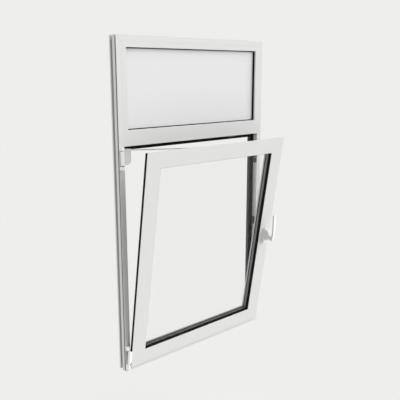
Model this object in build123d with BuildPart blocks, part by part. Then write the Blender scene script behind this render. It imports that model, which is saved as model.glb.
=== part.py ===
"""Tilt and turn window: a plastic frame with a fixed fanlight over a transom, and a sash
below it that is tilted into the room on its stay arm.

X runs to the right seen from the room, Y to the outside and Z up, in millimetres.
The origin is the middle of the sill's underside.
"""
import math
import os

from build123d import *

# Frame
frame_width = 1000.0
frame_height = 1720.0
frame_depth = 58.0
frame_face = 30.0
rebate_depth = 38.0
lip_height = 22.0
transom_bottom = 1194.0
transom_face = 53.0
edge_round = 2.0
joint_round = 1.0

# Lengthwise grooves round the outside of the frame
front_land = 3.0
front_groove_width = 9.0
front_groove_depth = 9.0
middle_land = 20.0
rear_groove_width = 18.0
rear_groove_depth = 14.0

# Sash, closed against the frame and then tilted about its lower front edge
tilt_angle = 9.2
leaf_depth = 58.0
leaf_face = 60.0
leaf_overlap = 8.0
leaf_lip_thickness = 2.5
leaf_lip_round = 1.5
leaf_body_depth = 37.0
leaf_glazing_lip_thickness = 11.0
leaf_glazing_lip_height = 25.0
rebate_air = 12.0
outer_air = 4.0

# Weather seals
leaf_seal_width = 7.0
leaf_seal_thickness = 11.0
seal_air = 0.5
frame_seal_width = 22.0
frame_seal_thickness = 14.0

# Glazing of the fanlight and the sash
pane_thickness = 4.0
fanlight_cavity = 7.0
sash_cavity = 16.0
pane_edge_air = 5.0
spacer_width = 21.0
bead_width = 26.0
bead_round = 3.0
inner_gasket_width = 4.0
inner_gasket_setback = 8.0
outer_gasket_width = 12.0
outer_gasket_thickness = 4.0
outer_gasket_show = 3.0

# Drain slots towards the outside
drain_slot_length = 30.0
drain_slot_height = 5.0
drain_slot_depth = 8.0
drain_slot_rise = 14.0
drain_slot_spacing = 340.0

# Hinges on the left
hinge_radius = 9.5
hinge_inset = 10.0
hinge_back_air = 1.0
hinge_chamfer = 2.0
knuckle_height = 73.0
upper_cap_height = 15.0
lower_cap_height = 19.0
hinge_washer_height = 3.5
hinge_pin_radius = 4.0
bottom_bearing_rise = 14.0
bottom_bearing_height = 32.0
bottom_knuckle_rise = 31.0
bottom_knuckle_height = 70.0
bottom_cap_rise = 125.0
bottom_cap_height = 23.0
pivot_air = 0.25
knuckle_lug_thickness = 5.0

# Stay arm between the top hinge and the sash's upper edge
stay_length = 355.0
stay_width = 18.0
stay_thickness = 3.0
stay_plate_reach = 42.0
stay_plate_rise = 8.0
stay_plate_height = 79.0
stay_plate_chamfer = 14.0
stay_cap_air = 1.5
stay_rise_over_knuckle = 2.0
slider_length = 26.0
slider_width = 12.0
slider_height = 5.0

# Locking gear on the sash's free edges, and its keeps on the frame
gear_depth = 24.0
gear_width = 16.0
gear_thickness = 2.5
gear_groove_width = 12.0
gear_groove_depth = 9.0
gear_end_air = 45.0
cam_stem_radius = 3.5
cam_head_radius = 5.5
cam_stem_height = 5.0
cam_head_height = 2.5
keep_length = 44.0
keep_width = 18.0
keep_height = 8.0
keep_slot_air = 1.0
cam_spacing = 380.0
cam_middle_height = 640.0
top_cam_offset = 150.0

# Handle on the right stile
handle_inset = 43.0
handle_height = 583.0
handle_base_width = 34.0
handle_base_length = 98.0
handle_base_thickness = 16.0
handle_base_corner = 16.0
handle_base_chamfer = 3.0
handle_collar_radius = 13.0
handle_collar_height = 6.0
handle_neck_radius = 11.0
handle_air = 0.3
lever_length = 148.0
lever_heel = 12.0
lever_knee = 45.0
lever_standoff = 67.0
lever_knee_standoff = 71.0
lever_tip_standoff = 56.0
lever_width = 22.0
lever_root_thickness = 15.0
lever_thickness = 11.0
lever_knee_round = 90.0
lever_heel_round = 9.0
lever_tip_round = 4.0
lever_edge_round = 2.5

# Values that follow from those above
lip_thickness = frame_depth - rebate_depth
sight_edge = frame_face + lip_height
transom_top = transom_bottom + transom_face
room_face_y = -frame_depth / 2
outer_face_y = frame_depth / 2
rear_groove_start = front_land + front_groove_width + middle_land
jamb_inner_x = frame_width / 2 - frame_face
lip_inner_x = frame_width / 2 - sight_edge

leaf_inset = frame_face - leaf_overlap
leaf_right = frame_width / 2 - leaf_inset
leaf_left = -leaf_right
leaf_height = transom_bottom + leaf_overlap - leaf_inset
leaf_lip = leaf_overlap + rebate_air
leaf_outer_step = leaf_overlap + lip_height + outer_air
leaf_sight_edge = leaf_face + leaf_glazing_lip_height
leaf_glazing_lip_front = leaf_depth - leaf_glazing_lip_thickness
leaf_proud = leaf_lip_thickness + leaf_seal_thickness + seal_air
leaf_front_y = room_face_y - leaf_proud

hinge_x = -frame_width / 2 + hinge_inset
hinge_y = room_face_y - hinge_back_air - hinge_radius
hinge_leaf_depth = hinge_y - leaf_front_y

CORNER = (Align.MIN, Align.MIN)
tilt = math.radians(tilt_angle)

# Working planes as seen from the room: x to the right, y up, z towards the viewer
frame_plane = Plane(origin=(0, room_face_y, 0), x_dir=(1, 0, 0), z_dir=(0, -1, 0))
leaf_plane = Plane(
    origin=(0, leaf_front_y, leaf_inset),
    x_dir=(1, 0, 0),
    z_dir=(0, -math.cos(tilt), -math.sin(tilt)),
)


def save(piece, name):
    """Label a finished piece and write it as a file of its own."""
    piece.label = name
    export_step(piece, f"parts/{name}.step")


def local_plane(base, origin, x_dir=(1, 0, 0), z_dir=(0, 0, 1)):
    """A plane given in the coordinates of another plane."""
    return Plane(base.location * Plane(origin=origin, x_dir=x_dir, z_dir=z_dir).location)


def ring_sides(base, left, bottom, right, top):
    """Start plane and length of the four bars of a ring: x runs into the opening,
    y from the room to the outside and z along the bar."""
    starts = {
        "left": ((left, bottom, 0), (1, 0, 0), (0, 1, 0), top - bottom),
        "top": ((left, top, 0), (0, -1, 0), (1, 0, 0), right - left),
        "right": ((right, top, 0), (-1, 0, 0), (0, -1, 0), top - bottom),
        "bottom": ((right, bottom, 0), (0, 1, 0), (-1, 0, 0), right - left),
    }
    return {
        side: (local_plane(base, corner, inward, along), length)
        for side, (corner, inward, along, length) in starts.items()
    }


def round_corners(section, radius, *corners):
    """Round the corners of a profile that lie nearest to the given points."""
    fillet([section.vertices().sort_by_distance((*corner, 0))[0] for corner in corners], radius)


def mitre_ends(start, length):
    """Cut both ends of a bar at 45 degrees, longest at its outer edge."""
    near_end = Plane(start.origin, x_dir=start.y_dir, z_dir=start.z_dir - start.x_dir)
    far_end = Plane(
        start.origin + start.z_dir * length, x_dir=start.y_dir, z_dir=-start.z_dir - start.x_dir
    )
    split(bisect_by=near_end, keep=Keep.TOP)
    split(bisect_by=far_end, keep=Keep.TOP)


def cut_drain_slots(count, height_z, face_y):
    """Cut a centred row of drain slots into the outside face of a horizontal bar."""
    with BuildSketch(Plane((0, face_y, height_z), x_dir=(1, 0, 0), z_dir=(0, -1, 0))) as slots:
        with GridLocations(drain_slot_spacing, 1, count, 1):
            SlotOverall(drain_slot_length, drain_slot_height)
    extrude(slots.sketch, amount=drain_slot_depth, mode=Mode.SUBTRACT)


def frame_bar(name, start, length, drained=False):
    """One mitred bar of the outer frame, with its rebate, outer lip and outside grooves."""
    with BuildPart() as bar:
        with BuildSketch(start) as section:
            Rectangle(frame_face, frame_depth, align=CORNER)
            with Locations((frame_face, rebate_depth)):
                Rectangle(lip_height, lip_thickness, align=CORNER)
            with Locations((0, front_land)):
                Rectangle(front_groove_depth, front_groove_width, align=CORNER, mode=Mode.SUBTRACT)
            with Locations((0, rear_groove_start)):
                Rectangle(rear_groove_depth, rear_groove_width, align=CORNER, mode=Mode.SUBTRACT)
            round_corners(section, joint_round, (frame_face, 0))
            round_corners(section, edge_round, (sight_edge, rebate_depth), (sight_edge, frame_depth))
        extrude(amount=length)
        mitre_ends(start, length)
        if drained:
            cut_drain_slots(3, drain_slot_rise, outer_face_y)
    save(bar.part, name)


def leaf_bar(name, start, length):
    """One mitred bar of the sash: overlap lip, gear step and outer glazing lip."""
    with BuildPart() as bar:
        with BuildSketch(start) as section:
            Rectangle(leaf_face, leaf_lip_thickness, align=CORNER)
            with Locations((leaf_lip, 0)):
                Rectangle(leaf_face - leaf_lip, leaf_body_depth, align=CORNER)
            with Locations((leaf_outer_step, 0)):
                Rectangle(leaf_face - leaf_outer_step, leaf_depth, align=CORNER)
            with Locations((leaf_face, leaf_glazing_lip_front)):
                Rectangle(leaf_glazing_lip_height, leaf_glazing_lip_thickness, align=CORNER)
            with Locations((leaf_lip, gear_depth)):
                Rectangle(
                    gear_groove_depth,
                    gear_groove_width,
                    align=(Align.MIN, Align.CENTER),
                    mode=Mode.SUBTRACT,
                )
            round_corners(section, leaf_lip_round, (0, 0))
            round_corners(
                section,
                edge_round,
                (leaf_sight_edge, leaf_glazing_lip_front),
                (leaf_sight_edge, leaf_depth),
                (leaf_outer_step, leaf_depth),
            )
        extrude(amount=length)
        mitre_ends(start, length)
    save(bar.part, name)


def bead_bar(name, start, length, thickness):
    """One mitred glazing bead with a rounded nose."""
    with BuildPart() as bar:
        with BuildSketch(start) as section:
            Rectangle(bead_width, thickness, align=CORNER)
            round_corners(section, bead_round, (bead_width, 0))
        extrude(amount=length)
        mitre_ends(start, length)
    save(bar.part, name)


def flat_ring(name, base, outline, width, front, back):
    """A rectangular ring of even width inside an outline, between two depths."""
    left, bottom, right, top = outline
    with BuildPart() as ring:
        with BuildSketch(base.offset(-back)):
            with Locations(((left + right) / 2, (bottom + top) / 2)):
                Rectangle(right - left, top - bottom)
                Rectangle(right - left - 2 * width, top - bottom - 2 * width, mode=Mode.SUBTRACT)
        extrude(amount=back - front)
    save(ring.part, name)


def pane(name, base, outline, front):
    """A sheet of glass that fills an outline, with its face at a depth."""
    left, bottom, right, top = outline
    with BuildPart() as sheet:
        with BuildSketch(base.offset(-front - pane_thickness)):
            with Locations(((left + right) / 2, (bottom + top) / 2)):
                Rectangle(right - left, top - bottom)
        extrude(amount=pane_thickness)
    save(sheet.part, name)


def inside(outline, distance):
    """An outline moved inwards on all four sides."""
    left, bottom, right, top = outline
    return left + distance, bottom + distance, right - distance, top - distance


def glaze(prefix, base, rebate_floor, lip_front, glazing_lip, cavity):
    """Double glazing in a rebate: beads, gaskets, two panes and the spacer between them."""
    outer_pane_front = lip_front - outer_gasket_thickness - pane_thickness
    spacer_front = outer_pane_front - cavity
    inner_pane_front = spacer_front - pane_thickness
    pane_outline = inside(rebate_floor, pane_edge_air)
    for side, (start, length) in ring_sides(base, *rebate_floor).items():
        bead_bar(f"{prefix}_{side}_bead", start, length, inner_pane_front)
    bead_edge = inside(rebate_floor, bead_width)
    flat_ring(
        f"{prefix}_inner_gasket",
        base,
        bead_edge,
        inner_gasket_width,
        inner_gasket_setback,
        inner_pane_front,
    )
    pane(f"{prefix}_inner_pane", base, pane_outline, inner_pane_front)
    flat_ring(f"{prefix}_spacer", base, pane_outline, spacer_width, spacer_front, outer_pane_front)
    pane(f"{prefix}_outer_pane", base, pane_outline, outer_pane_front)
    gasket_edge = inside(rebate_floor, glazing_lip + outer_gasket_show - outer_gasket_width)
    flat_ring(
        f"{prefix}_outer_gasket",
        base,
        gasket_edge,
        outer_gasket_width,
        lip_front - outer_gasket_thickness,
        lip_front,
    )


def hinge_section():
    """Round front with a flat back that reaches the frame's face, centred on the hinge line."""
    Circle(hinge_radius)
    Rectangle(2 * hinge_radius, hinge_radius + hinge_back_air, align=(Align.CENTER, Align.MIN))


def outer_frame():
    """Head, jambs, sill and the transom between the jambs."""
    outline = (-frame_width / 2, 0, frame_width / 2, frame_height)
    sides = ring_sides(frame_plane, *outline)
    frame_bar("frame_left_jamb", *sides["left"])
    frame_bar("frame_head", *sides["top"])
    frame_bar("frame_right_jamb", *sides["right"])
    frame_bar("frame_sill", *sides["bottom"], drained=True)

    transom_middle = (transom_bottom + transom_top) / 2
    with BuildPart() as transom:
        with BuildSketch(frame_plane.offset(-frame_depth)):
            with Locations((0, transom_middle)):
                Rectangle(2 * lip_inner_x, transom_face + 2 * lip_height)
        extrude(amount=lip_thickness)
        with BuildSketch(frame_plane.offset(-rebate_depth)):
            with Locations((0, transom_middle)):
                Rectangle(2 * jamb_inner_x, transom_face)
        extrude(amount=rebate_depth)
        face_edges = transom.edges().filter_by(Axis.X).group_by(Axis.Y)[0]
        fillet(face_edges, joint_round)
        cut_drain_slots(2, transom_top, outer_face_y)
    save(transom.part, "transom")


def fanlight():
    """The fixed light above the transom."""
    floor = (-jamb_inner_x, transom_top, jamb_inner_x, frame_height - frame_face)
    glaze("fanlight", frame_plane, floor, rebate_depth, lip_height, fanlight_cavity)


def sash():
    """The tilted sash with its glazing and the two weather seals of the lower opening."""
    outline = (leaf_left, 0, leaf_right, leaf_height)
    names = {
        "left": "sash_left_stile",
        "top": "sash_top_rail",
        "right": "sash_right_stile",
        "bottom": "sash_bottom_rail",
    }
    for side, (start, length) in ring_sides(leaf_plane, *outline).items():
        leaf_bar(names[side], start, length)
    glazing_floor = inside(outline, leaf_face)
    glaze(
        "sash",
        leaf_plane,
        glazing_floor,
        leaf_glazing_lip_front,
        leaf_glazing_lip_height,
        sash_cavity,
    )
    flat_ring(
        "sash_seal",
        leaf_plane,
        outline,
        leaf_seal_width,
        leaf_lip_thickness,
        leaf_lip_thickness + leaf_seal_thickness,
    )
    seal_edge = lip_height - frame_seal_width
    seal_outline = inside((-jamb_inner_x, frame_face, jamb_inner_x, transom_bottom), seal_edge)
    flat_ring(
        "frame_seal",
        frame_plane,
        seal_outline,
        frame_seal_width,
        rebate_depth - frame_seal_thickness,
        rebate_depth,
    )


def stay_and_top_hinge():
    """Top hinge on the left jamb, the stay arm swung out from it, and the arm's slider."""
    rail_top = leaf_height - leaf_lip + gear_thickness
    slider_spot = leaf_plane.from_local_coords((0, rail_top, -gear_depth))
    arm_z = slider_spot.Z + slider_height
    swing = math.asin((hinge_y - slider_spot.Y) / stay_length)
    slider_x = hinge_x + stay_length * math.cos(swing)
    knuckle_top = arm_z - stay_rise_over_knuckle
    knuckle_bottom = knuckle_top - knuckle_height

    with BuildPart() as bearing:
        with BuildSketch(Plane((hinge_x, hinge_y, knuckle_top))):
            hinge_section()
        extrude(amount=upper_cap_height)
        chamfer(bearing.faces().sort_by(Axis.Z)[-1].edges(), hinge_chamfer)
        with BuildSketch(Plane((hinge_x, hinge_y, knuckle_bottom - hinge_washer_height))):
            hinge_section()
        extrude(amount=-lower_cap_height)
        chamfer(bearing.faces().sort_by(Axis.Z)[0].edges(), hinge_chamfer)
        with BuildSketch(Plane((hinge_x, hinge_y, knuckle_bottom))):
            Circle(hinge_pin_radius)
        extrude(amount=-hinge_washer_height)
    save(bearing.part, "top_hinge_bearing")

    along = Vector(math.cos(swing), -math.sin(swing), 0)
    plate_plane = Plane((hinge_x, hinge_y, arm_z), x_dir=along, z_dir=along.cross(Vector(0, 0, 1)))
    root = hinge_radius + stay_cap_air
    plate_bottom = stay_plate_rise - stay_plate_height
    with BuildPart() as knuckle:
        with BuildSketch(Plane((hinge_x, hinge_y, knuckle_bottom))):
            Circle(hinge_radius)
        extrude(amount=knuckle_height)
    save(knuckle.part, "top_hinge_knuckle")

    with BuildPart() as arm:
        with BuildSketch(plate_plane) as plate:
            with Locations((root, stay_plate_rise)):
                Rectangle(stay_plate_reach - root, stay_plate_height, align=(Align.MIN, Align.MAX))
            with Locations((hinge_radius, plate_bottom)):
                Rectangle(stay_cap_air, -stay_rise_over_knuckle - plate_bottom, align=CORNER)
            low_corner = plate.vertices().sort_by_distance((stay_plate_reach, plate_bottom, 0))[0]
            chamfer(low_corner, stay_plate_chamfer)
        extrude(amount=stay_thickness / 2, both=True)
        strip_start = root + stay_width / 2
        with BuildSketch(Plane((hinge_x, hinge_y, arm_z), x_dir=along, z_dir=(0, 0, 1))):
            with Locations(((strip_start + stay_length) / 2, 0)):
                SlotCenterToCenter(stay_length - strip_start, stay_width)
        extrude(amount=stay_thickness)
    save(arm.part, "stay_arm")

    with BuildPart() as slider:
        with BuildSketch(local_plane(leaf_plane, (slider_x, rail_top, -gear_depth), z_dir=(0, 1, 0))):
            Rectangle(slider_length, slider_width)
        extrude(amount=2 * slider_height)
        split(bisect_by=Plane((0, 0, arm_z)), keep=Keep.BOTTOM)
    save(slider.part, "stay_slider")


def bottom_hinge():
    """Pivot bearing and upper cap on the frame, and the sash's knuckle between them."""
    knuckle_start = local_plane(
        leaf_plane, (hinge_x, bottom_knuckle_rise, -hinge_leaf_depth), z_dir=(0, 1, 0)
    )
    bearing_top = bottom_bearing_rise + bottom_bearing_height
    with BuildPart() as bearing:
        with BuildSketch(Plane((hinge_x, hinge_y, bearing_top))):
            Circle(hinge_pin_radius)
        extrude(amount=bottom_bearing_height)
        split(bisect_by=knuckle_start.offset(-pivot_air), keep=Keep.BOTTOM)
        with BuildSketch(Plane((hinge_x, hinge_y, bottom_bearing_rise))):
            hinge_section()
        extrude(amount=bottom_bearing_height)
        with BuildSketch(Plane((hinge_x, hinge_y, bottom_cap_rise))):
            hinge_section()
        extrude(amount=bottom_cap_height)
        ends = bearing.faces().sort_by(Axis.Z)
        chamfer(ends[0].edges() + ends[-1].edges(), hinge_chamfer)
    save(bearing.part, "bottom_hinge_bearing")

    knuckle_lift = knuckle_lug_thickness / 2 - hinge_leaf_depth
    with BuildPart() as knuckle:
        with BuildSketch(knuckle_start):
            Circle(hinge_radius)
        extrude(amount=bottom_knuckle_height)
        top_face = knuckle.faces().sort_by(Axis(leaf_plane.origin, leaf_plane.y_dir))[-1]
        chamfer(top_face.edges(), hinge_chamfer)
        with BuildSketch(knuckle_start.offset(hinge_chamfer)):
            with Locations((0, knuckle_lift)):
                Rectangle(leaf_left - hinge_x, knuckle_lug_thickness, align=(Align.MIN, Align.CENTER))
        extrude(amount=bottom_knuckle_height - 2 * hinge_chamfer)
    save(knuckle.part, "bottom_hinge_knuckle")


def locking_gear():
    """Gear rails on the sash's top and right edges, their cams, and the keeps on the frame."""
    edge_height = leaf_height - leaf_lip
    edge_x = leaf_right - leaf_lip
    top_start = local_plane(leaf_plane, (0, edge_height, -gear_depth), z_dir=(0, 1, 0))
    side_start = local_plane(
        leaf_plane, (edge_x, leaf_height / 2, -gear_depth), x_dir=(0, 1, 0), z_dir=(1, 0, 0)
    )
    with BuildPart() as top_rail:
        with BuildSketch(top_start):
            Rectangle(2 * edge_x - 2 * gear_end_air, gear_width)
        extrude(amount=gear_thickness)
    save(top_rail.part, "top_gear_rail")
    with BuildPart() as side_rail:
        with BuildSketch(side_start):
            Rectangle(leaf_height - 2 * leaf_lip - 2 * gear_end_air, gear_width)
        extrude(amount=gear_thickness)
    save(side_rail.part, "side_gear_rail")

    cam_heights = [cam_middle_height + step * cam_spacing for step in (-1, 0, 1)]
    cam_spots = [
        local_plane(
            leaf_plane, (edge_x + gear_thickness, height, -gear_depth), x_dir=(0, 1, 0), z_dir=(1, 0, 0)
        )
        for height in cam_heights
    ]
    top_cam_x = leaf_right - leaf_lip - gear_end_air - top_cam_offset
    cam_spots.append(
        local_plane(leaf_plane, (top_cam_x, edge_height + gear_thickness, -gear_depth), z_dir=(0, 1, 0))
    )
    with BuildPart() as cams:
        for spot in cam_spots:
            with BuildSketch(spot):
                Circle(cam_stem_radius)
            extrude(amount=cam_stem_height)
            with BuildSketch(spot.offset(cam_stem_height)):
                Circle(cam_head_radius)
            extrude(amount=cam_head_height)
    save(cams.part, "locking_cams")

    keep_y = leaf_front_y + gear_depth
    keep_spots = [
        Plane((jamb_inner_x, keep_y, leaf_inset + height), x_dir=(0, 0, 1), z_dir=(-1, 0, 0))
        for height in cam_heights
    ]
    keep_spots.append(Plane((top_cam_x, keep_y, transom_bottom), x_dir=(1, 0, 0), z_dir=(0, 0, -1)))
    slot_width = 2 * (cam_head_radius + keep_slot_air)
    with BuildPart() as keeps:
        for spot in keep_spots:
            with BuildSketch(spot):
                Rectangle(keep_length, keep_width)
                with Locations((keep_length / 2, 0)):
                    SlotOverall(keep_length, slot_width, mode=Mode.SUBTRACT)
            extrude(amount=keep_height)
    save(keeps.part, "locking_keeps")


def handle():
    """Base plate with its collar, and turned-up lever, on the right stile."""
    spot = local_plane(leaf_plane, (leaf_right - handle_inset, handle_height, 0))
    with BuildPart() as base:
        with BuildSketch(spot):
            RectangleRounded(handle_base_width, handle_base_length, handle_base_corner)
        extrude(amount=handle_base_thickness)
        front = base.faces().sort_by(Axis(spot.origin, spot.z_dir))[-1]
        chamfer(front.edges(), handle_base_chamfer)
        with BuildSketch(spot.offset(handle_base_thickness)):
            Circle(handle_collar_radius)
        extrude(amount=handle_collar_height)
    save(base.part, "handle_base")

    side = local_plane(spot, (0, 0, 0), x_dir=(0, 1, 0), z_dir=(1, 0, 0))
    back_line = [
        (-lever_heel, lever_standoff - lever_root_thickness / 2),
        (lever_knee, lever_knee_standoff - lever_thickness / 2),
        (lever_length, lever_tip_standoff - lever_thickness / 2),
    ]
    front_line = [
        (lever_length, lever_tip_standoff + lever_thickness / 2),
        (lever_knee, lever_knee_standoff + lever_thickness / 2),
        (-lever_heel, lever_standoff + lever_root_thickness / 2),
    ]
    with BuildPart() as lever:
        with BuildSketch(side) as profile:
            with BuildLine():
                Polyline(*back_line, *front_line, close=True)
            make_face()
            round_corners(profile, lever_knee_round, back_line[1], front_line[1])
            round_corners(profile, lever_heel_round, front_line[2])
            round_corners(profile, lever_tip_round, back_line[0], back_line[2], front_line[0])
        extrude(amount=lever_width / 2, both=True)
        flanks = lever.faces().sort_by(Axis(spot.origin, spot.x_dir))
        fillet(flanks[0].edges() + flanks[-1].edges(), lever_edge_round)
        neck_start = handle_base_thickness + handle_collar_height + handle_air
        with BuildSketch(spot.offset(neck_start)):
            Circle(handle_neck_radius)
        extrude(amount=lever_standoff - neck_start)
    save(lever.part, "handle_lever")


os.makedirs("parts", exist_ok=True)
outer_frame()
fanlight()
sash()
stay_and_top_hinge()
bottom_hinge()
locking_gear()
handle()
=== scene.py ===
"""Looks of the tilt and turn window: plastic, glass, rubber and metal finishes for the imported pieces,
rubber seals with their lips, the screws, rivet and washers of the fittings, the handle's domed rosette,
and a plain studio.

Metres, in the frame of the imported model: X to the right seen from the room, Y to the outside, Z up.
"""
import math

import bmesh
import bpy
import numpy as np
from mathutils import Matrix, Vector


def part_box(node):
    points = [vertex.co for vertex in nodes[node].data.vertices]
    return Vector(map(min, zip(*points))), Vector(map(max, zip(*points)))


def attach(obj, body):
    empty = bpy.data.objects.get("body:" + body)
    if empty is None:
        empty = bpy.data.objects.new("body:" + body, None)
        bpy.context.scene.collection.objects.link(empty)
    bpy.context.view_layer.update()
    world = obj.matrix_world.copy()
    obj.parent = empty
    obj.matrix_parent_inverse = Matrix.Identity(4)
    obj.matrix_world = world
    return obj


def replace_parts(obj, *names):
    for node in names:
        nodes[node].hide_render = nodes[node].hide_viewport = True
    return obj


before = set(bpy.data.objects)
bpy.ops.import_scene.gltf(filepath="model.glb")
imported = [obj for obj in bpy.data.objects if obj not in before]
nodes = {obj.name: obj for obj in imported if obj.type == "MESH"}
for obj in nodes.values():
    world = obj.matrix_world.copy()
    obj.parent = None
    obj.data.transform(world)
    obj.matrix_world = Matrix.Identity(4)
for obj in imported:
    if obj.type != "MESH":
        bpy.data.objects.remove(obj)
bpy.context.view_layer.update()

MM = 0.001

# Outer frame, as packed
HALF_WIDTH = 0.500
FRAME_HEIGHT = 1.720
ROOM_FACE_Y = -0.029
FRAME_DEPTH = 0.058
FRAME_FACE = 0.030
REBATE_DEPTH = 0.038
LIP_HEIGHT = 0.022
TRANSOM_BOTTOM = 1.194
TRANSOM_TOP = 1.247
JAMB_INNER_X = HALF_WIDTH - FRAME_FACE
# Frame grooves as start depth, end depth and the share of painted shade that darkens each
GROOVES = ((0.003, 0.012, 1.0), (0.032, 0.050, 0.4))
GROOVE_REACH = 0.0145
GROOVE_EDGE = (0.0008, 0.0030)
MASK_SLACK = 0.0001
BACK_SLACK = 0.0003
FANLIGHT_FLOOR = (-JAMB_INNER_X, TRANSOM_TOP, JAMB_INNER_X, FRAME_HEIGHT - FRAME_FACE)

# Sash, tilted about its lower front edge
TILT = math.radians(9.2)
SASH_ORIGIN = (0.0, -0.043, 0.022)
SASH_HALF_WIDTH = 0.478
SASH_HEIGHT = 1.180
SASH_FACE = 0.060
SASH_DEPTH = 0.058
SASH_LIP_FRONT = 0.047
SASH_LIP_HEIGHT = 0.025
SASH_FLOOR = (
    -SASH_HALF_WIDTH + SASH_FACE, SASH_FACE, SASH_HALF_WIDTH - SASH_FACE, SASH_HEIGHT - SASH_FACE
)

# Fittings
BEAD_WIDTH = 0.026
GEAR_DEPTH = 0.024
GEAR_EDGE = 0.020
GEAR_THICKNESS = 0.0025
KEEP_HEIGHT = 0.008
CAM_HEIGHTS = np.array([0.260, 0.640, 1.020])
TOP_CAM_X = 0.263
HANDLE_X = 0.435
HANDLE_UP = 0.583

# Colours, as linear light
WHITE_PLASTIC = (0.680, 0.682, 0.677, 1.0)
STREAK_WHITE = (0.660, 0.662, 0.658, 1.0)
SEAM_GREY = (0.420, 0.420, 0.415, 1.0)
WHITE_COVER = (0.930, 0.930, 0.925, 1.0)
WHITE_POWDER = (0.870, 0.870, 0.865, 1.0)
DARK_FOIL = (0.018, 0.019, 0.020, 1.0)
FOIL_MOTTLE = (0.024, 0.025, 0.026, 1.0)
BLACK_RUBBER = (0.0062, 0.0062, 0.0065, 1.0)
RUBBER_MOTTLE = (0.0095, 0.0095, 0.0100, 1.0)
ZINC = (0.740, 0.745, 0.750, 1.0)
# Painted shade: the keeps and their screws are near black, where plated zinc is silver
KEEP_SHADE_GREY = (0.045, 0.045, 0.046, 1.0)
SPACER_GREY = (0.390, 0.394, 0.397, 1.0)
CLEAR_GLASS = (0.990, 0.994, 0.991, 1.0)
SATIN_GLASS = (0.840, 0.843, 0.846, 1.0)
DUST_GREY = (0.520, 0.510, 0.490, 1.0)
# Grey of the painted shade in the frame's grooves
GROOVE_SHADE_GREY = (0.330, 0.330, 0.322, 1.0)
STUDIO_PALE = (0.855, 0.855, 0.839, 1.0)
FLOOR_PALE = (0.950, 0.950, 0.934, 1.0)
LAMP_WHITE = (1.0, 1.0, 0.995, 1.0)

# Shares and levels of the finishes
GLASS_IOR = 1.14
PLASTIC_IOR = 1.5
PLASTIC_DUST = 0.22
COVER_DUST = 0.15
STEEL_DUST = 0.25
KEEP_DUST = 0.05
RUBBER_DUST = 0.012
STREAK_SHARE = 0.35
SEAM_SHARE = 0.25
DULL_SHARE = 0.6
DULL_LEVEL = 0.82
COVER_SHADE = 0.97
COAT_ROUGHNESS = 0.12
RUBBER_SPECULAR = 0.08

# Meshing
SMOOTH_ANGLE = math.radians(40.0)
HEAD_LOBES = 6
HEAD_COLUMNS = 36
SEAL_STEPS = 4
POLE_REACH = 0.000001


# Numpy surfaces


def sash_point(across, up, depth):
    """Points given on the sash, as across, up the sash and depth behind its face: y falls by up sin(tilt)
    and grows by depth cos(tilt), z grows by up cos(tilt) and by depth sin(tilt)."""
    across, up, depth = np.broadcast_arrays(across, up, depth)
    y = SASH_ORIGIN[1] - up * math.sin(TILT) + depth * math.cos(TILT)
    z = SASH_ORIGIN[2] + up * math.cos(TILT) + depth * math.sin(TILT)
    return np.stack([across + SASH_ORIGIN[0], y, z], axis=-1)


def frame_point(across, up, depth):
    """Points given on the outer frame, as across, height and depth behind its room face."""
    across, up, depth = np.broadcast_arrays(across, up, depth)
    return np.stack([across, ROOM_FACE_Y + depth, up], axis=-1)


def grid_quads(rows, columns, close_rows, close_columns):
    """Corner numbers of the quads between neighbouring points of a grid, joined round where it closes."""
    number = np.arange(rows * columns).reshape(rows, columns)
    if close_rows:
        number = np.concatenate([number, number[:1]], axis=0)
    if close_columns:
        number = np.concatenate([number, number[:, :1]], axis=1)
    corners = [number[:-1, :-1], number[1:, :-1], number[1:, 1:], number[:-1, 1:]]
    return np.stack(corners, axis=-1).reshape(-1, 4)


def signed_volume(points, quads):
    """Six times the volume inside closed quads: positive where the faces point outwards."""
    a, b, c, d = (points[quads[:, k]] for k in range(4))
    return np.sum(np.cross(b, c) * a) + np.sum(np.cross(c, d) * a)


def close_poles(mesh):
    """Merge the points of a pole, which all lie on one spot, so that its quads become triangles."""
    work = bmesh.new()
    work.from_mesh(mesh)
    bmesh.ops.remove_doubles(work, verts=work.verts, dist=POLE_REACH)
    work.to_mesh(mesh)
    work.free()


def add_piece(name, points, quads, finish, slot):
    """Put points and quads into a mesh of its own that rides on the window and carries a finish."""
    if signed_volume(points - points.mean(axis=0), quads) < 0:
        quads = quads[:, ::-1]
    mesh = bpy.data.meshes.new(name)
    mesh.from_pydata(points.tolist(), [], quads.tolist())
    close_poles(mesh)
    mesh.polygons.foreach_set("use_smooth", np.ones(len(mesh.polygons), dtype=bool))
    mesh.set_sharp_from_angle(angle=SMOOTH_ANGLE)
    mesh.materials.append(finish)
    mesh.update()
    piece = bpy.data.objects.new(name, mesh)
    bpy.context.scene.collection.objects.link(piece)
    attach(piece, "window")
    return piece


def smooth_loop(corners, steps):
    """A closed curve near a loop of corners: the quadratic B-spline p(t) = sum of corner times blend,
    with blends (1-t)^2/2, 1/2+t-t^2 and t^2/2 over three corners in a row."""
    corners = np.asarray(corners, dtype=float)
    t = np.arange(steps) / steps
    blends = np.stack([(1 - t) ** 2 / 2, 0.5 + t - t * t, t * t / 2])
    trio = np.stack([corners, np.roll(corners, -1, axis=0), np.roll(corners, -2, axis=0)])
    return np.einsum("bs,bkc->ksc", blends, trio).reshape(-1, 2)


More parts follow.
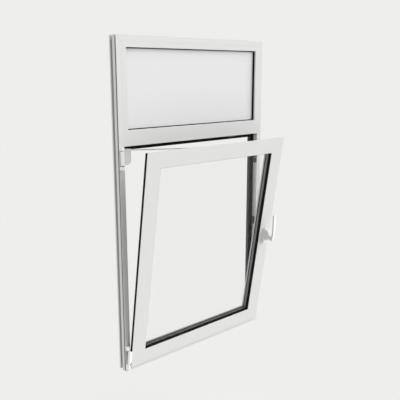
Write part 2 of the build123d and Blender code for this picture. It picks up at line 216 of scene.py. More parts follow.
def profile_ring(outline, profile, place, stations=1):
    """A profile of (inward, depth) pairs carried round a rectangle with mitred corners: each corner
    moves by the same inward distance along both sides, and c(1-t) + d t leads from each to the next."""
    left, bottom, right, top = outline
    inward, depth = profile[:, 0], profile[:, 1]
    across = np.array([left, right, right, left])[:, None] + np.outer([1.0, -1.0, -1.0, 1.0], inward)
    up = np.array([bottom, bottom, top, top])[:, None] + np.outer([1.0, 1.0, -1.0, -1.0], inward)
    t = (np.arange(stations) / stations)[None, :, None]
    across, up = (
        (corner[:, None] * (1 - t) + np.roll(corner, -1, axis=0)[:, None] * t).reshape(-1, len(profile))
        for corner in (across, up)
    )
    quads = grid_quads(4 * stations, len(profile), True, True)
    return place(across, up, depth[None, :]).reshape(-1, 3), quads


def turned_heads(rows, centres, across, normal):
    """Round heads from (radius, height, lobe depth) rows: radius r(1 + a cos 6t) at angle t, standing
    along the normal at each centre, with the first row shrunk to a point and the last one closed."""
    rows = np.asarray(rows, dtype=float)
    centres = np.asarray(centres, dtype=float)
    across, normal = np.asarray(across, dtype=float), np.asarray(normal, dtype=float)
    beside = np.cross(normal, across)
    angle = np.arange(HEAD_COLUMNS) * 2 * math.pi / HEAD_COLUMNS
    radius = rows[:, 0:1] * (1 + rows[:, 2:3] * np.cos(HEAD_LOBES * angle)[None, :])
    local = (
        radius[..., None] * np.cos(angle)[None, :, None] * across
        + radius[..., None] * np.sin(angle)[None, :, None] * beside
        + rows[:, 1][:, None, None] * normal
    )
    points = centres[:, None, None, :] + local[None]
    quads = grid_quads(len(rows), HEAD_COLUMNS, False, True)
    step = len(rows) * HEAD_COLUMNS
    all_quads = quads[None] + (np.arange(len(centres)) * step)[:, None, None]
    return points.reshape(-1, 3), all_quads.reshape(-1, 4)


def joined(*surfaces):
    """Several surfaces as one list of points and quads."""
    counts = np.cumsum([0] + [len(points) for points, _ in surfaces[:-1]])
    points = np.concatenate([points for points, _ in surfaces])
    return points, np.concatenate([quads + count for (_, quads), count in zip(surfaces, counts)])


# Shader node groups that several finishes share


def new_group(name, inputs, outputs):
    """A shader node group with named sockets, given as name, kind and default."""
    group = bpy.data.node_groups.new(name, "ShaderNodeTree")
    for label, kind, default in inputs:
        socket = group.interface.new_socket(label, in_out="INPUT", socket_type=kind)
        if default is not None:
            socket.default_value = default
    for label, kind in outputs:
        group.interface.new_socket(label, in_out="OUTPUT", socket_type=kind)
    return group, group.nodes.new("NodeGroupInput"), group.nodes.new("NodeGroupOutput")


def link(tree, source, target):
    tree.links.new(source, target)


def math_node(tree, operation, *values, clamp=False):
    """A Math node whose inputs are sockets or plain numbers."""
    node = tree.nodes.new("ShaderNodeMath")
    node.operation = operation
    node.use_clamp = clamp
    for socket, value in zip(node.inputs, values):
        if isinstance(value, (int, float)):
            socket.default_value = value
        else:
            link(tree, value, socket)
    return node.outputs[0]


def ramp(tree, value, low, high, at_low=0.0, at_high=1.0):
    """A smooth step of a value between two levels."""
    node = tree.nodes.new("ShaderNodeMapRange")
    node.interpolation_type = "SMOOTHSTEP"
    link(tree, value, node.inputs["Value"])
    for label, number in (("From Min", low), ("From Max", high), ("To Min", at_low), ("To Max", at_high)):
        node.inputs[label].default_value = number
    return node.outputs["Result"]


def noise(tree, vector, scale, detail=2.0, roughness=0.5):
    node = tree.nodes.new("ShaderNodeTexNoise")
    node.inputs["Scale"].default_value = scale
    node.inputs["Detail"].default_value = detail
    node.inputs["Roughness"].default_value = roughness
    link(tree, vector, node.inputs["Vector"])
    return node.outputs["Fac"]


def stretched(tree, vector, scale):
    node = tree.nodes.new("ShaderNodeMapping")
    node.inputs["Scale"].default_value = scale
    link(tree, vector, node.inputs["Vector"])
    return node.outputs["Vector"]


def mix_colour(tree, factor, a, b):
    """A Mix node between two colours, each a socket or a plain colour."""
    node = tree.nodes.new("ShaderNodeMix")
    node.data_type = "RGBA"
    link(tree, factor, node.inputs["Factor"])
    for socket, value in ((node.inputs[6], a), (node.inputs[7], b)):
        if isinstance(value, tuple):
            socket.default_value = value
        else:
            link(tree, value, socket)
    return node.outputs[2]


def build_moulded_grain():
    """Fine orange-peel of moulded plastic and powder: two noises of different size, as a height and
    a mottle."""
    tree, given, out = new_group(
        "moulded_grain",
        [("Vector", "NodeSocketVector", None), ("Scale", "NodeSocketFloat", 900.0)],
        [("Height", "NodeSocketFloat"), ("Mottle", "NodeSocketFloat")],
    )
    fine = tree.nodes.new("ShaderNodeTexNoise")
    fine.inputs["Detail"].default_value = 3.0
    link(tree, given.outputs["Vector"], fine.inputs["Vector"])
    link(tree, given.outputs["Scale"], fine.inputs["Scale"])
    broad = noise(tree, given.outputs["Vector"], 7.0, detail=3.0)
    link(tree, fine.outputs["Fac"], out.inputs["Height"])
    link(tree, ramp(tree, broad, 0.3, 0.7), out.inputs["Mottle"])
    return tree


def build_drawn_lines():
    """Faint lengthwise lines left by the extrusion die: noise that is long along the bar, given as a
    vector already stretched."""
    tree, given, out = new_group(
        "drawn_lines",
        [("Vector", "NodeSocketVector", None)],
        [("Height", "NodeSocketFloat"), ("Streak", "NodeSocketFloat")],
    )
    lines = noise(tree, given.outputs["Vector"], 1.0, detail=4.0, roughness=0.6)
    link(tree, lines, out.inputs["Height"])
    link(tree, ramp(tree, lines, 0.35, 0.65), out.inputs["Streak"])
    return tree


def build_corner_weld():
    """The weld line on the four mitres of a bar ring: a thin band where the distance from the side and
    the distance from the nearer end are equal."""
    tree, given, out = new_group(
        "corner_weld",
        [
            ("Vector", "NodeSocketVector", None),
            ("Half Width", "NodeSocketFloat", 0.5),
            ("Bottom", "NodeSocketFloat", 0.0),
            ("Top", "NodeSocketFloat", 1.0),
            ("Reach", "NodeSocketFloat", 0.09),
        ],
        [("Seam", "NodeSocketFloat")],
    )
    axes = tree.nodes.new("ShaderNodeSeparateXYZ")
    link(tree, given.outputs["Vector"], axes.inputs[0])
    sideways = math_node(tree, "ABSOLUTE", axes.outputs["X"])
    from_side = math_node(tree, "SUBTRACT", given.outputs["Half Width"], sideways)
    from_bottom = math_node(tree, "SUBTRACT", axes.outputs["Z"], given.outputs["Bottom"])
    from_top = math_node(tree, "SUBTRACT", given.outputs["Top"], axes.outputs["Z"])
    from_end = math_node(tree, "MINIMUM", from_bottom, from_top)
    gap = math_node(tree, "ABSOLUTE", math_node(tree, "SUBTRACT", from_side, from_end))
    near = math_node(tree, "LESS_THAN", from_end, given.outputs["Reach"])
    band = ramp(tree, gap, 0.35 * MM, 0.9 * MM, 1.0, 0.0)
    link(tree, math_node(tree, "MULTIPLY", band, near), out.inputs["Seam"])
    return tree


def build_settled_dust():
    """A breath of dust on what faces up: the normal's height times a broken noise."""
    tree, given, out = new_group(
        "settled_dust",
        [("Vector", "NodeSocketVector", None), ("Amount", "NodeSocketFloat", 0.2)],
        [("Dust", "NodeSocketFloat")],
    )
    face = tree.nodes.new("ShaderNodeNewGeometry")
    axes = tree.nodes.new("ShaderNodeSeparateXYZ")
    link(tree, face.outputs["Normal"], axes.inputs[0])
    upward = ramp(tree, axes.outputs["Z"], 0.35, 0.95)
    speckle = noise(tree, given.outputs["Vector"], 40.0, detail=5.0, roughness=0.65)
    settled = math_node(tree, "MULTIPLY", upward, ramp(tree, speckle, 0.25, 0.75))
    link(tree, math_node(tree, "MULTIPLY", settled, given.outputs["Amount"]), out.inputs["Dust"])
    return tree


MOULDED_GRAIN = build_moulded_grain()
DRAWN_LINES = build_drawn_lines()
CORNER_WELD = build_corner_weld()
SETTLED_DUST = build_settled_dust()


# Finishes


def new_finish(name):
    """A material with its Principled shader and its Object coordinates."""
    material = bpy.data.materials.new(name)
    material.use_nodes = True
    tree = material.node_tree
    shader = tree.nodes["Principled BSDF"]
    place = tree.nodes.new("ShaderNodeTexCoord").outputs["Object"]
    return material, tree, shader, place


def use_group(tree, group, vector, **values):
    node = tree.nodes.new("ShaderNodeGroup")
    node.node_tree = group
    link(tree, vector, node.inputs["Vector"])
    for label, value in values.items():
        node.inputs[label.replace("_", " ")].default_value = value
    return node.outputs


def bump(tree, shader, height, strength, distance):
    node = tree.nodes.new("ShaderNodeBump")
    node.inputs["Strength"].default_value = strength
    node.inputs["Distance"].default_value = distance
    link(tree, height, node.inputs["Height"])
    link(tree, node.outputs["Normal"], shader.inputs["Normal"])


def local_place(tree, place, origin, turn):
    """Object coordinates moved to an origin and turned about X, so that Y is the depth behind a face."""
    node = tree.nodes.new("ShaderNodeMapping")
    node.vector_type = "TEXTURE"
    node.inputs["Location"].default_value = origin
    node.inputs["Rotation"].default_value = (turn, 0.0, 0.0)
    link(tree, place, node.inputs["Vector"])
    return node.outputs["Vector"]


def foil_mask(tree, axes, back_face, lip=None):
    """Where the dark outside foil lies: all over the back face and, where a lip is given as its depth,
    half width, foot and head, also behind that depth and inside that outline."""
    back = math_node(tree, "GREATER_THAN", axes.outputs["Y"], back_face)
    if lip is None:
        return back
    lip_depth, half_width, low, high = lip
    deep = math_node(tree, "GREATER_THAN", axes.outputs["Y"], lip_depth)
    sideways = math_node(tree, "ABSOLUTE", axes.outputs["X"])
    inner = math_node(tree, "LESS_THAN", sideways, half_width)
    above = math_node(tree, "GREATER_THAN", axes.outputs["Z"], low)
    below = math_node(tree, "LESS_THAN", axes.outputs["Z"], high)
    between = math_node(tree, "MULTIPLY", above, below)
    edge = math_node(tree, "MULTIPLY", math_node(tree, "MULTIPLY", deep, inner), between)
    return math_node(tree, "MAXIMUM", edge, back)


def profile_finish(name, origin, turn, half_width, bottom, top, stretch, foil=None, shade_grooves=False):
    """Satin white plastic bar with die lines, welded mitres, painted shade in the grooves, dark foil
    outside and dust.
    """
    material, tree, shader, place = new_finish(name)
    local = local_place(tree, place, origin, turn)
    axes = tree.nodes.new("ShaderNodeSeparateXYZ")
    link(tree, local, axes.inputs[0])
    lines = use_group(tree, DRAWN_LINES, stretched(tree, local, stretch))
    grain = use_group(tree, MOULDED_GRAIN, local, Scale=1400.0)
    seam = use_group(tree, CORNER_WELD, local, Half_Width=half_width, Bottom=bottom, Top=top)["Seam"]
    dust = use_group(tree, SETTLED_DUST, place, Amount=PLASTIC_DUST)["Dust"]
    streaks = math_node(tree, "MULTIPLY", lines["Streak"], STREAK_SHARE)
    white = mix_colour(tree, streaks, WHITE_PLASTIC, STREAK_WHITE)
    white = mix_colour(tree, math_node(tree, "MULTIPLY", seam, SEAM_SHARE), white, SEAM_GREY)
    if shade_grooves:
        # Painted shade darkens the frame's grooves
        white = mix_colour(tree, groove_shade_mask(tree, axes), white, GROOVE_SHADE_GREY)
    if foil:
        mask = foil_mask(tree, axes, *foil)
        dark = mix_colour(tree, grain["Mottle"], DARK_FOIL, FOIL_MOTTLE)
        white = mix_colour(tree, mask, white, dark)
    link(tree, mix_colour(tree, dust, white, DUST_GREY), shader.inputs["Base Color"])
    rough = ramp(tree, lines["Streak"], 0.0, 1.0, 0.34, 0.42)
    dusty = math_node(tree, "MULTIPLY", dust, 0.5)
    link(tree, math_node(tree, "ADD", rough, dusty, clamp=True), shader.inputs["Roughness"])
    die_relief = math_node(tree, "MULTIPLY", lines["Height"], 0.6)
    grain_relief = math_node(tree, "MULTIPLY", grain["Height"], 0.25)
    relief = math_node(tree, "ADD", die_relief, grain_relief)
    seam_relief = math_node(tree, "MULTIPLY", seam, 2.0)
    bump(tree, shader, math_node(tree, "SUBTRACT", relief, seam_relief), 0.25, 0.15 * MM)
    shader.inputs["IOR"].default_value = PLASTIC_IOR
    return material


def groove_shade_mask(tree, axes):
    """Painted shade in the lengthwise grooves: a little way in from the frame's outline and between two
    pairs of depths, each pair darkened by its own share."""
    from_side = math_node(tree, "SUBTRACT", HALF_WIDTH, math_node(tree, "ABSOLUTE", axes.outputs["X"]))
    from_top = math_node(tree, "SUBTRACT", FRAME_HEIGHT, axes.outputs["Z"])
    from_end = math_node(tree, "MINIMUM", axes.outputs["Z"], from_top)
    from_edge = math_node(tree, "MINIMUM", from_side, from_end)
    sunk = ramp(tree, from_edge, *GROOVE_EDGE)
    shallow = math_node(tree, "LESS_THAN", from_edge, GROOVE_REACH)
    bands = []
    for start, end, groove_shade_share in GROOVES:
        after = math_node(tree, "GREATER_THAN", axes.outputs["Y"], start - MASK_SLACK)
        before = math_node(tree, "LESS_THAN", axes.outputs["Y"], end + MASK_SLACK)
        bands.append(math_node(tree, "MULTIPLY", math_node(tree, "MULTIPLY", after, before), groove_shade_share))
    band = math_node(tree, "MAXIMUM", *bands)
    return math_node(tree, "MULTIPLY", math_node(tree, "MULTIPLY", sunk, shallow), band)


# Each ring of bars: its origin, its turn, half its width, its foot and its head
FRAME_ORIGIN = (0.0, ROOM_FACE_Y, 0.0)
FRAME_RING = (FRAME_ORIGIN, 0.0, HALF_WIDTH, 0.0, FRAME_HEIGHT)
SASH_RING = (SASH_ORIGIN, TILT, SASH_HALF_WIDTH, 0.0, SASH_HEIGHT)
FANLIGHT_RING = (FRAME_ORIGIN, 0.0, JAMB_INNER_X, TRANSOM_TOP, FRAME_HEIGHT - FRAME_FACE)

# How a finish's lines are squeezed along X, Y and Z
UPRIGHT = (420.0, 420.0, 1.6)
LEVEL = (1.6, 420.0, 420.0)
ROLLED = (30.0, 600.0, 600.0)
DRAWN = (60.0, 60.0, 60.0)

# Where the dark foil lies: behind the back face's depth, and on the frame's outer lip
FRAME_LIP = (
    REBATE_DEPTH - 2 * MASK_SLACK,
    JAMB_INNER_X + MASK_SLACK,
    FRAME_FACE - MASK_SLACK,
    FRAME_HEIGHT - FRAME_FACE + MASK_SLACK,
)
FRAME_FOIL = (FRAME_DEPTH - BACK_SLACK, FRAME_LIP)
SASH_FOIL = (SASH_DEPTH - BACK_SLACK,)


def frame_finish(name, stretch):
    return profile_finish(name, *FRAME_RING, stretch, FRAME_FOIL, shade_grooves=True)


def sash_finish(name, stretch):
    return profile_finish(name, *SASH_RING, stretch, SASH_FOIL)


def rubber_finish():
    """Matt black seal rubber: fine talc-grey mottle and a soft grain."""
    material, tree, shader, place = new_finish("black_seal_rubber")
    grain = use_group(tree, MOULDED_GRAIN, place, Scale=1800.0)
    dust = use_group(tree, SETTLED_DUST, place, Amount=RUBBER_DUST)["Dust"]
    black = mix_colour(tree, grain["Mottle"], BLACK_RUBBER, RUBBER_MOTTLE)
    link(tree, mix_colour(tree, dust, black, DUST_GREY), shader.inputs["Base Color"])
    link(tree, ramp(tree, grain["Height"], 0.3, 0.7, 0.58, 0.72), shader.inputs["Roughness"])
    bump(tree, shader, grain["Height"], 0.3, 0.1 * MM)
    shader.inputs["Specular IOR Level"].default_value = RUBBER_SPECULAR
    return material


def glass_finish(name, colour, low_rough, high_rough, clearness, relief):
    """Float or satin glass: transmission with a faint haze that follows a broad noise, and for the
    satin face a milky share and a fine etched relief."""
    material, tree, shader, place = new_finish(name)
    grain = use_group(tree, MOULDED_GRAIN, place, Scale=2600.0)
    shader.inputs["Base Color"].default_value = colour
    link(tree, ramp(tree, grain["Mottle"], 0.0, 1.0, low_rough, high_rough), shader.inputs["Roughness"])
    shader.inputs["Transmission Weight"].default_value = clearness
    shader.inputs["IOR"].default_value = GLASS_IOR
    if relief:
        bump(tree, shader, grain["Height"], relief, 0.05 * MM)
    return material


def metal_finish(name, colour, stretch, low_rough, high_rough, metal, dust_amount):
    """Plated steel or mill aluminium: rolled lines along the bar, spangle and a thin film of dust."""
    material, tree, shader, place = new_finish(name)
    lines = use_group(tree, DRAWN_LINES, stretched(tree, place, stretch))
    grain = use_group(tree, MOULDED_GRAIN, place, Scale=500.0)
    dust = use_group(tree, SETTLED_DUST, place, Amount=dust_amount)["Dust"]
    dull = tuple(DULL_LEVEL * channel for channel in colour[:3]) + (1.0,)
    plate = mix_colour(tree, math_node(tree, "MULTIPLY", grain["Mottle"], DULL_SHARE), colour, dull)
    link(tree, mix_colour(tree, dust, plate, DUST_GREY), shader.inputs["Base Color"])
    bare = math_node(tree, "SUBTRACT", 1.0, dust)
    link(tree, math_node(tree, "MULTIPLY", bare, metal), shader.inputs["Metallic"])
    link(tree, ramp(tree, lines["Streak"], 0.0, 1.0, low_rough, high_rough), shader.inputs["Roughness"])
    bump(tree, shader, lines["Height"], 0.15, 0.1 * MM)
    return material


def cover_finish(name, colour, scale, low_rough, high_rough, coat):
    """Bright white moulded or powder-coated cover with orange-peel and a slight gloss coat."""
    material, tree, shader, place = new_finish(name)
    grain = use_group(tree, MOULDED_GRAIN, place, Scale=scale)
    dust = use_group(tree, SETTLED_DUST, place, Amount=COVER_DUST)["Dust"]
    shade = tuple(COVER_SHADE * channel for channel in colour[:3]) + (1.0,)
    mottled = mix_colour(tree, grain["Mottle"], colour, shade)
    link(tree, mix_colour(tree, dust, mottled, DUST_GREY), shader.inputs["Base Color"])
    link(tree, ramp(tree, grain["Mottle"], 0.0, 1.0, low_rough, high_rough), shader.inputs["Roughness"])
    bump(tree, shader, grain["Height"], 0.12, 0.08 * MM)
    shader.inputs["Coat Weight"].default_value = coat
    shader.inputs["Coat Roughness"].default_value = COAT_ROUGHNESS
    return material


FRAME_UPRIGHT = frame_finish("frame_upright_plastic", UPRIGHT)
FRAME_LEVEL = frame_finish("frame_level_plastic", LEVEL)
SASH_UPRIGHT = sash_finish("sash_upright_plastic", UPRIGHT)
SASH_LEVEL = sash_finish("sash_level_plastic", LEVEL)
FANLIGHT_BEAD_UPRIGHT = profile_finish("fanlight_bead_upright", *FANLIGHT_RING, UPRIGHT)
FANLIGHT_BEAD_LEVEL = profile_finish("fanlight_bead_level", *FANLIGHT_RING, LEVEL)
SASH_BEAD_UPRIGHT = profile_finish("sash_bead_upright", *SASH_RING, UPRIGHT)
SASH_BEAD_LEVEL = profile_finish("sash_bead_level", *SASH_RING, LEVEL)
RUBBER = rubber_finish()
CLEAR = glass_finish("clear_float_glass", CLEAR_GLASS, 0.0, 0.012, 1.0, 0.0)
SATIN = glass_finish("satin_etched_glass", SATIN_GLASS, 0.46, 0.54, 0.20, 0.25)
STEEL = metal_finish("zinc_plated_steel", ZINC, ROLLED, 0.30, 0.42, 1.0, STEEL_DUST)
# Zinc keeps given a near-black colour as painted shade
KEEP = metal_finish("keep_zinc_painted_shade", KEEP_SHADE_GREY, ROLLED, 0.48, 0.58, 0.30, KEEP_DUST)
SPACER = metal_finish("spacer_aluminium", SPACER_GREY, DRAWN, 0.40, 0.52, 0.15, 0.0)
COVER = cover_finish("white_hinge_cover", WHITE_COVER, 1500.0, 0.26, 0.34, 0.25)
POWDER = cover_finish("white_powder_coat", WHITE_POWDER, 1100.0, 0.30, 0.38, 0.15)

FINISH_OF = {
    "frame_left_jamb": FRAME_UPRIGHT,
    "frame_right_jamb": FRAME_UPRIGHT,
    "frame_head": FRAME_LEVEL,
    "frame_sill": FRAME_LEVEL,
    "transom": FRAME_LEVEL,
    "sash_left_stile": SASH_UPRIGHT,
    "sash_right_stile": SASH_UPRIGHT,
    "sash_top_rail": SASH_LEVEL,
    "sash_bottom_rail": SASH_LEVEL,
    "fanlight_inner_pane": SATIN,
    "fanlight_outer_pane": CLEAR,
    "sash_inner_pane": CLEAR,
    "sash_outer_pane": CLEAR,
    "fanlight_spacer": SPACER,
    "sash_spacer": SPACER,
    "top_hinge_bearing": COVER,
    "top_hinge_knuckle": COVER,
    "bottom_hinge_bearing": COVER,
    "bottom_hinge_knuckle": COVER,
    "stay_arm": STEEL,
    "stay_slider": STEEL,
    "top_gear_rail": STEEL,
    "side_gear_rail": STEEL,
    "locking_cams": STEEL,
    "locking_keeps": KEEP,
    "handle_base": POWDER,
    "handle_lever": POWDER,
}
for light, upright, level in (
    ("fanlight", FANLIGHT_BEAD_UPRIGHT, FANLIGHT_BEAD_LEVEL),
    ("sash", SASH_BEAD_UPRIGHT, SASH_BEAD_LEVEL),
):
    FINISH_OF.update({f"{light}_{side}_bead": upright for side in ("left", "right")})
    FINISH_OF.update({f"{light}_{side}_bead": level for side in ("top", "bottom")})
for name, finish in FINISH_OF.items():
    nodes[name].data.materials.clear()
    nodes[name].data.materials.append(finish)


# Rubber seals with their lips, in place of the plain rings

FLAP_FOOT = 0.020
FLAP_RISE = 0.040
FLAP_ROOT_DEPTH = 0.009
FLAP_RELAX = 0.0045
FLAP_TOP_DROP = 0.006
FLAP_STATIONS = 24
FRAME_FLAP_WIDTH = 0.0172
FRAME_FLAP_DROP = 0.004
FRAME_FLAP_NEAR = 0.030
OUTER_GASKET_HIDDEN = 0.009
OUTER_GASKET_THICKNESS = 4.0


def shrink(outline, distance):
    left, bottom, right, top = outline
    return left + distance, bottom + distance, right - distance, top - distance


def seal(name, node, outline, corners, place, stations=1):
    """A rubber profile, rounded from its corner loop in millimetres and carried round the outline."""
    points, quads = profile_ring(outline, smooth_loop(corners, SEAL_STEPS) * MM, place, stations)
    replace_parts(add_piece(name, points, quads, RUBBER, "gasket"), node)


def relaxed_sash_point(across, up, depth):
    """Points on the sash whose far depth grows with the height, as a seal lip stands out where nothing
    presses it: none at the foot, 4.5 mm from 60 mm up."""
    across, up, depth = np.broadcast_arrays(across, up, depth)
    rise = np.clip((up - FLAP_FOOT) / FLAP_RISE, 0.0, 1.0)
    tip = np.clip((depth - FLAP_ROOT_DEPTH) / FLAP_RELAX, 0.0, 1.0)
    return sash_point(across, up, depth + FLAP_RELAX * rise * tip)


def lowered_frame_point(across, up, depth):
    """Points on the outer frame whose seal hangs lower under the transom: the drop grows evenly from the
    transom's underside to 4 mm at the seal's edge."""
    across, up, depth = np.broadcast_arrays(across, up, depth)
    under = TRANSOM_BOTTOM - up
    drop = np.where(under < FRAME_FLAP_NEAR, FRAME_FLAP_DROP * under / FRAME_FLAP_WIDTH, 0.0)
    return frame_point(across, up - drop, depth)


def outer_lip(lip_front):
    """Corner loop, in millimetres, of the flat seal between the outer lip and the outer pane, with a
    rounded lip that shows."""
    lip_front = lip_front / MM
    pane_back = lip_front - OUTER_GASKET_THICKNESS
    return [
        (-0.2, pane_back), (5.0, pane_back), (8.6, pane_back), (9.6, pane_back + 0.2),
        (9.6, lip_front - 1.6), (9.0, lip_front - 0.3), (8.0, lip_front + 0.1), (4.0, lip_front),
        (-0.2, lip_front),
    ]


FANLIGHT_LIP = [
    (-0.3, 8.0), (0.5, 8.0), (1.8, 9.4), (3.4, 11.6), (4.1, 14.0), (4.1, 17.5), (4.1, 19.1),
    (2.5, 19.1), (0.0, 19.0), (-0.3, 15.0), (-0.3, 10.5),
]
SASH_LIP = [
    (-0.8, 1.4), (0.3, 1.5), (0.4, 4.0), (0.6, 7.0), (1.8, 9.4), (3.4, 11.6), (4.1, 14.0),
    (4.1, 17.5), (4.1, 19.1), (2.5, 19.1), (0.0, 19.0), (-0.3, 15.0), (-0.3, 8.0), (-0.4, 3.4),
    (-0.9, 2.2),
]
SASH_FLAP = [
    (0.3, 0.9), (-0.35, 1.0), (-0.35, 4.0), (-0.2, 8.0), (-0.1, 11.0), (0.1, 13.2), (1.8, 13.9),
    (3.6, 13.3), (3.0, 11.6), (2.3, 9.6), (2.6, 6.8), (4.4, 5.6), (6.6, 5.4), (7.1, 4.2), (7.0, 2.4),
    (3.5, 2.4), (0.2, 2.4), (0.1, 1.6),
]
FRAME_FLAP = [
    (-0.1, 38.1), (-0.1, 34.0), (-0.1, 31.2), (0.6, 30.1), (3.0, 30.3), (6.0, 31.4), (9.0, 31.2),
    (12.0, 30.1), (15.0, 29.9), (17.0, 31.0), (17.2, 33.0), (16.4, 34.6), (17.2, 36.2), (17.2, 38.1),
    (9.0, 38.1),
]
BOTTOM_OPENING = (-JAMB_INNER_X, FRAME_FACE, JAMB_INNER_X, TRANSOM_BOTTOM)
FLAP_OUTLINE = (-SASH_HALF_WIDTH, 0.0, SASH_HALF_WIDTH, SASH_HEIGHT - FLAP_TOP_DROP)
FANLIGHT_BEAD_EDGE = shrink(FANLIGHT_FLOOR, BEAD_WIDTH)
FANLIGHT_LIP_EDGE = shrink(FANLIGHT_FLOOR, LIP_HEIGHT - OUTER_GASKET_HIDDEN)
SASH_BEAD_EDGE = shrink(SASH_FLOOR, BEAD_WIDTH)
SASH_LIP_EDGE = shrink(SASH_FLOOR, SASH_LIP_HEIGHT - OUTER_GASKET_HIDDEN)
FANLIGHT_OUTER = outer_lip(REBATE_DEPTH)
SASH_OUTER = outer_lip(SASH_LIP_FRONT)
seal("sash_flap_seal", "sash_seal", FLAP_OUTLINE, SASH_FLAP, relaxed_sash_point, FLAP_STATIONS)
seal("frame_flap_seal", "frame_seal", BOTTOM_OPENING, FRAME_FLAP, lowered_frame_point)
seal("fanlight_bead_seal", "fanlight_inner_gasket", FANLIGHT_BEAD_EDGE, FANLIGHT_LIP, frame_point)
seal("sash_bead_seal", "sash_inner_gasket", SASH_BEAD_EDGE, SASH_LIP, sash_point)
seal("fanlight_outer_seal", "fanlight_outer_gasket", FANLIGHT_LIP_EDGE, FANLIGHT_OUTER, frame_point)
seal("sash_outer_seal", "sash_outer_gasket", SASH_LIP_EDGE, SASH_OUTER, sash_point)


# Screws, rivet and washers of the fittings, the hinge washers black so they also paint the shade line in
# each hinge gap; each row a radius, a height and a lobe depth

SCREW_ROWS = np.array([
    (0.00, -1.3, 0.0), (1.20, -1.3, 0.14), (1.35, -0.1, 0.14), (1.70, 0.25, 0.0), (2.80, 0.30, 0.0),
    (3.40, 0.05, 0.0), (3.50, -0.3, 0.0), (3.0, -1.8, 0.0), (0.0, -1.8, 0.0),
]) * (MM, MM, 1.0)
RIVET_ROWS = np.array([
    (0.0, 1.8, 0.0), (1.6, 1.7, 0.0), (3.2, 1.2, 0.0), (4.2, 0.4, 0.0), (4.5, -0.3, 0.0), (0.0, -0.3, 0.0),
]) * (MM, MM, 1.0)
WASHER_ROWS = np.array([
    (0.0, -1.2, 0.0), (9.4, -1.2, 0.0), (9.8, -0.8, 0.0), (9.8, 0.8, 0.0), (9.4, 1.2, 0.0), (0.0, 1.2, 0.0),
]) * (MM, MM, 1.0)
HINGE_GAP = 0.0035
KEEP_Y = SASH_ORIGIN[1] + GEAR_DEPTH
KEEP_SCREW_OFFSET = 0.013
SIDE_SCREWS = np.array([0.090, 0.190, 0.350, 0.450, 0.730, 0.860, 0.940, 1.090])
TOP_SCREWS = np.array([-0.380, -0.250, -0.060, 0.080, 0.180, 0.360])
SASH_UP = (0.0, -math.sin(TILT), math.cos(TILT))
X_AXIS = (1.0, 0.0, 0.0)
Z_AXIS = (0.0, 0.0, 1.0)

keep_face_x = JAMB_INNER_X - KEEP_HEIGHT
keep_screw_z = SASH_ORIGIN[2] + CAM_HEIGHTS - KEEP_SCREW_OFFSET
side_keeps = np.stack(np.broadcast_arrays(keep_face_x, KEEP_Y, keep_screw_z), axis=-1)
top_keep = [(TOP_CAM_X - KEEP_SCREW_OFFSET, KEEP_Y, TRANSOM_BOTTOM - KEEP_HEIGHT)]
# The keep screws carry the keeps' painted shade
add_piece(
    "keep_screws",
    *joined(
        turned_heads(SCREW_ROWS, side_keeps, Z_AXIS, (-1.0, 0.0, 0.0)),
        turned_heads(SCREW_ROWS, top_keep, X_AXIS, (0.0, 0.0, -1.0)),
    ),
    KEEP, "fitting_steel",
)
rail_x = SASH_HALF_WIDTH - GEAR_EDGE + GEAR_THICKNESS
rail_up = SASH_HEIGHT - GEAR_EDGE + GEAR_THICKNESS
add_piece(
    "gear_rail_screws",
    *joined(
        turned_heads(SCREW_ROWS, sash_point(rail_x, SIDE_SCREWS, GEAR_DEPTH), SASH_UP, X_AXIS),
        turned_heads(SCREW_ROWS, sash_point(TOP_SCREWS, rail_up, GEAR_DEPTH), X_AXIS, SASH_UP),
    ),
    STEEL, "fitting_steel",
)
stay_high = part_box("stay_arm")[1]
slider_low, slider_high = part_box("stay_slider")
slider_x, slider_y = (slider_low.x + slider_high.x) / 2, (slider_low.y + slider_high.y) / 2
stay_end = [(slider_x, slider_y, stay_high.z)]
knuckle_low, knuckle_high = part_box("top_hinge_knuckle")
knuckle_x, knuckle_y = (knuckle_low.x + knuckle_high.x) / 2, (knuckle_low.y + knuckle_high.y) / 2
washer_heights = (knuckle_low.z - HINGE_GAP / 2, knuckle_high.z)
washer_spots = [(knuckle_x, knuckle_y, height) for height in washer_heights]
# Hinge washers in black rubber: real washers whose black also paints the shade line in each hinge gap
add_piece("hinge_washers_gap_shade", *turned_heads(WASHER_ROWS, washer_spots, X_AXIS, Z_AXIS), RUBBER, "gasket")
add_piece("stay_rivet", *turned_heads(RIVET_ROWS, stay_end, X_AXIS, Z_AXIS), STEEL, "fitting_steel")


# Domed rosette of the handle, in place of its plain base: rows of radius, straight, lift and height

ROSETTE_ROWS = np.array([
    (0.0, 0.0, 0.0, 0.0), (16.6, 32.0, 0.0, 0.0), (17.0, 32.0, 0.0, 0.5), (17.0, 32.0, 0.0, 12.5),
    (16.5, 32.0, 0.0, 14.6), (15.4, 31.4, 0.0, 15.8), (14.8, 28.0, 1.5, 16.4), (14.8, 22.0, 7.0, 17.6),
    (14.9, 19.2, 8.8, 20.5), (14.8, 17.6, 8.6, 25.0), (14.6, 15.2, 7.6, 31.0), (14.2, 11.8, 5.8, 36.5),
    (13.7, 7.6, 3.6, 41.0), (13.1, 3.6, 1.6, 44.5), (12.6, 1.0, 0.4, 46.4), (12.3, 0.1, 0.0, 46.9),
    (11.8, 0.0, 0.0, 46.9), (11.5, 0.0, 0.0, 46.4), (11.5, 0.0, 0.0, 21.9), (0.0, 0.0, 0.0, 21.9),
]) * MM
ROSETTE_COLUMNS = 72


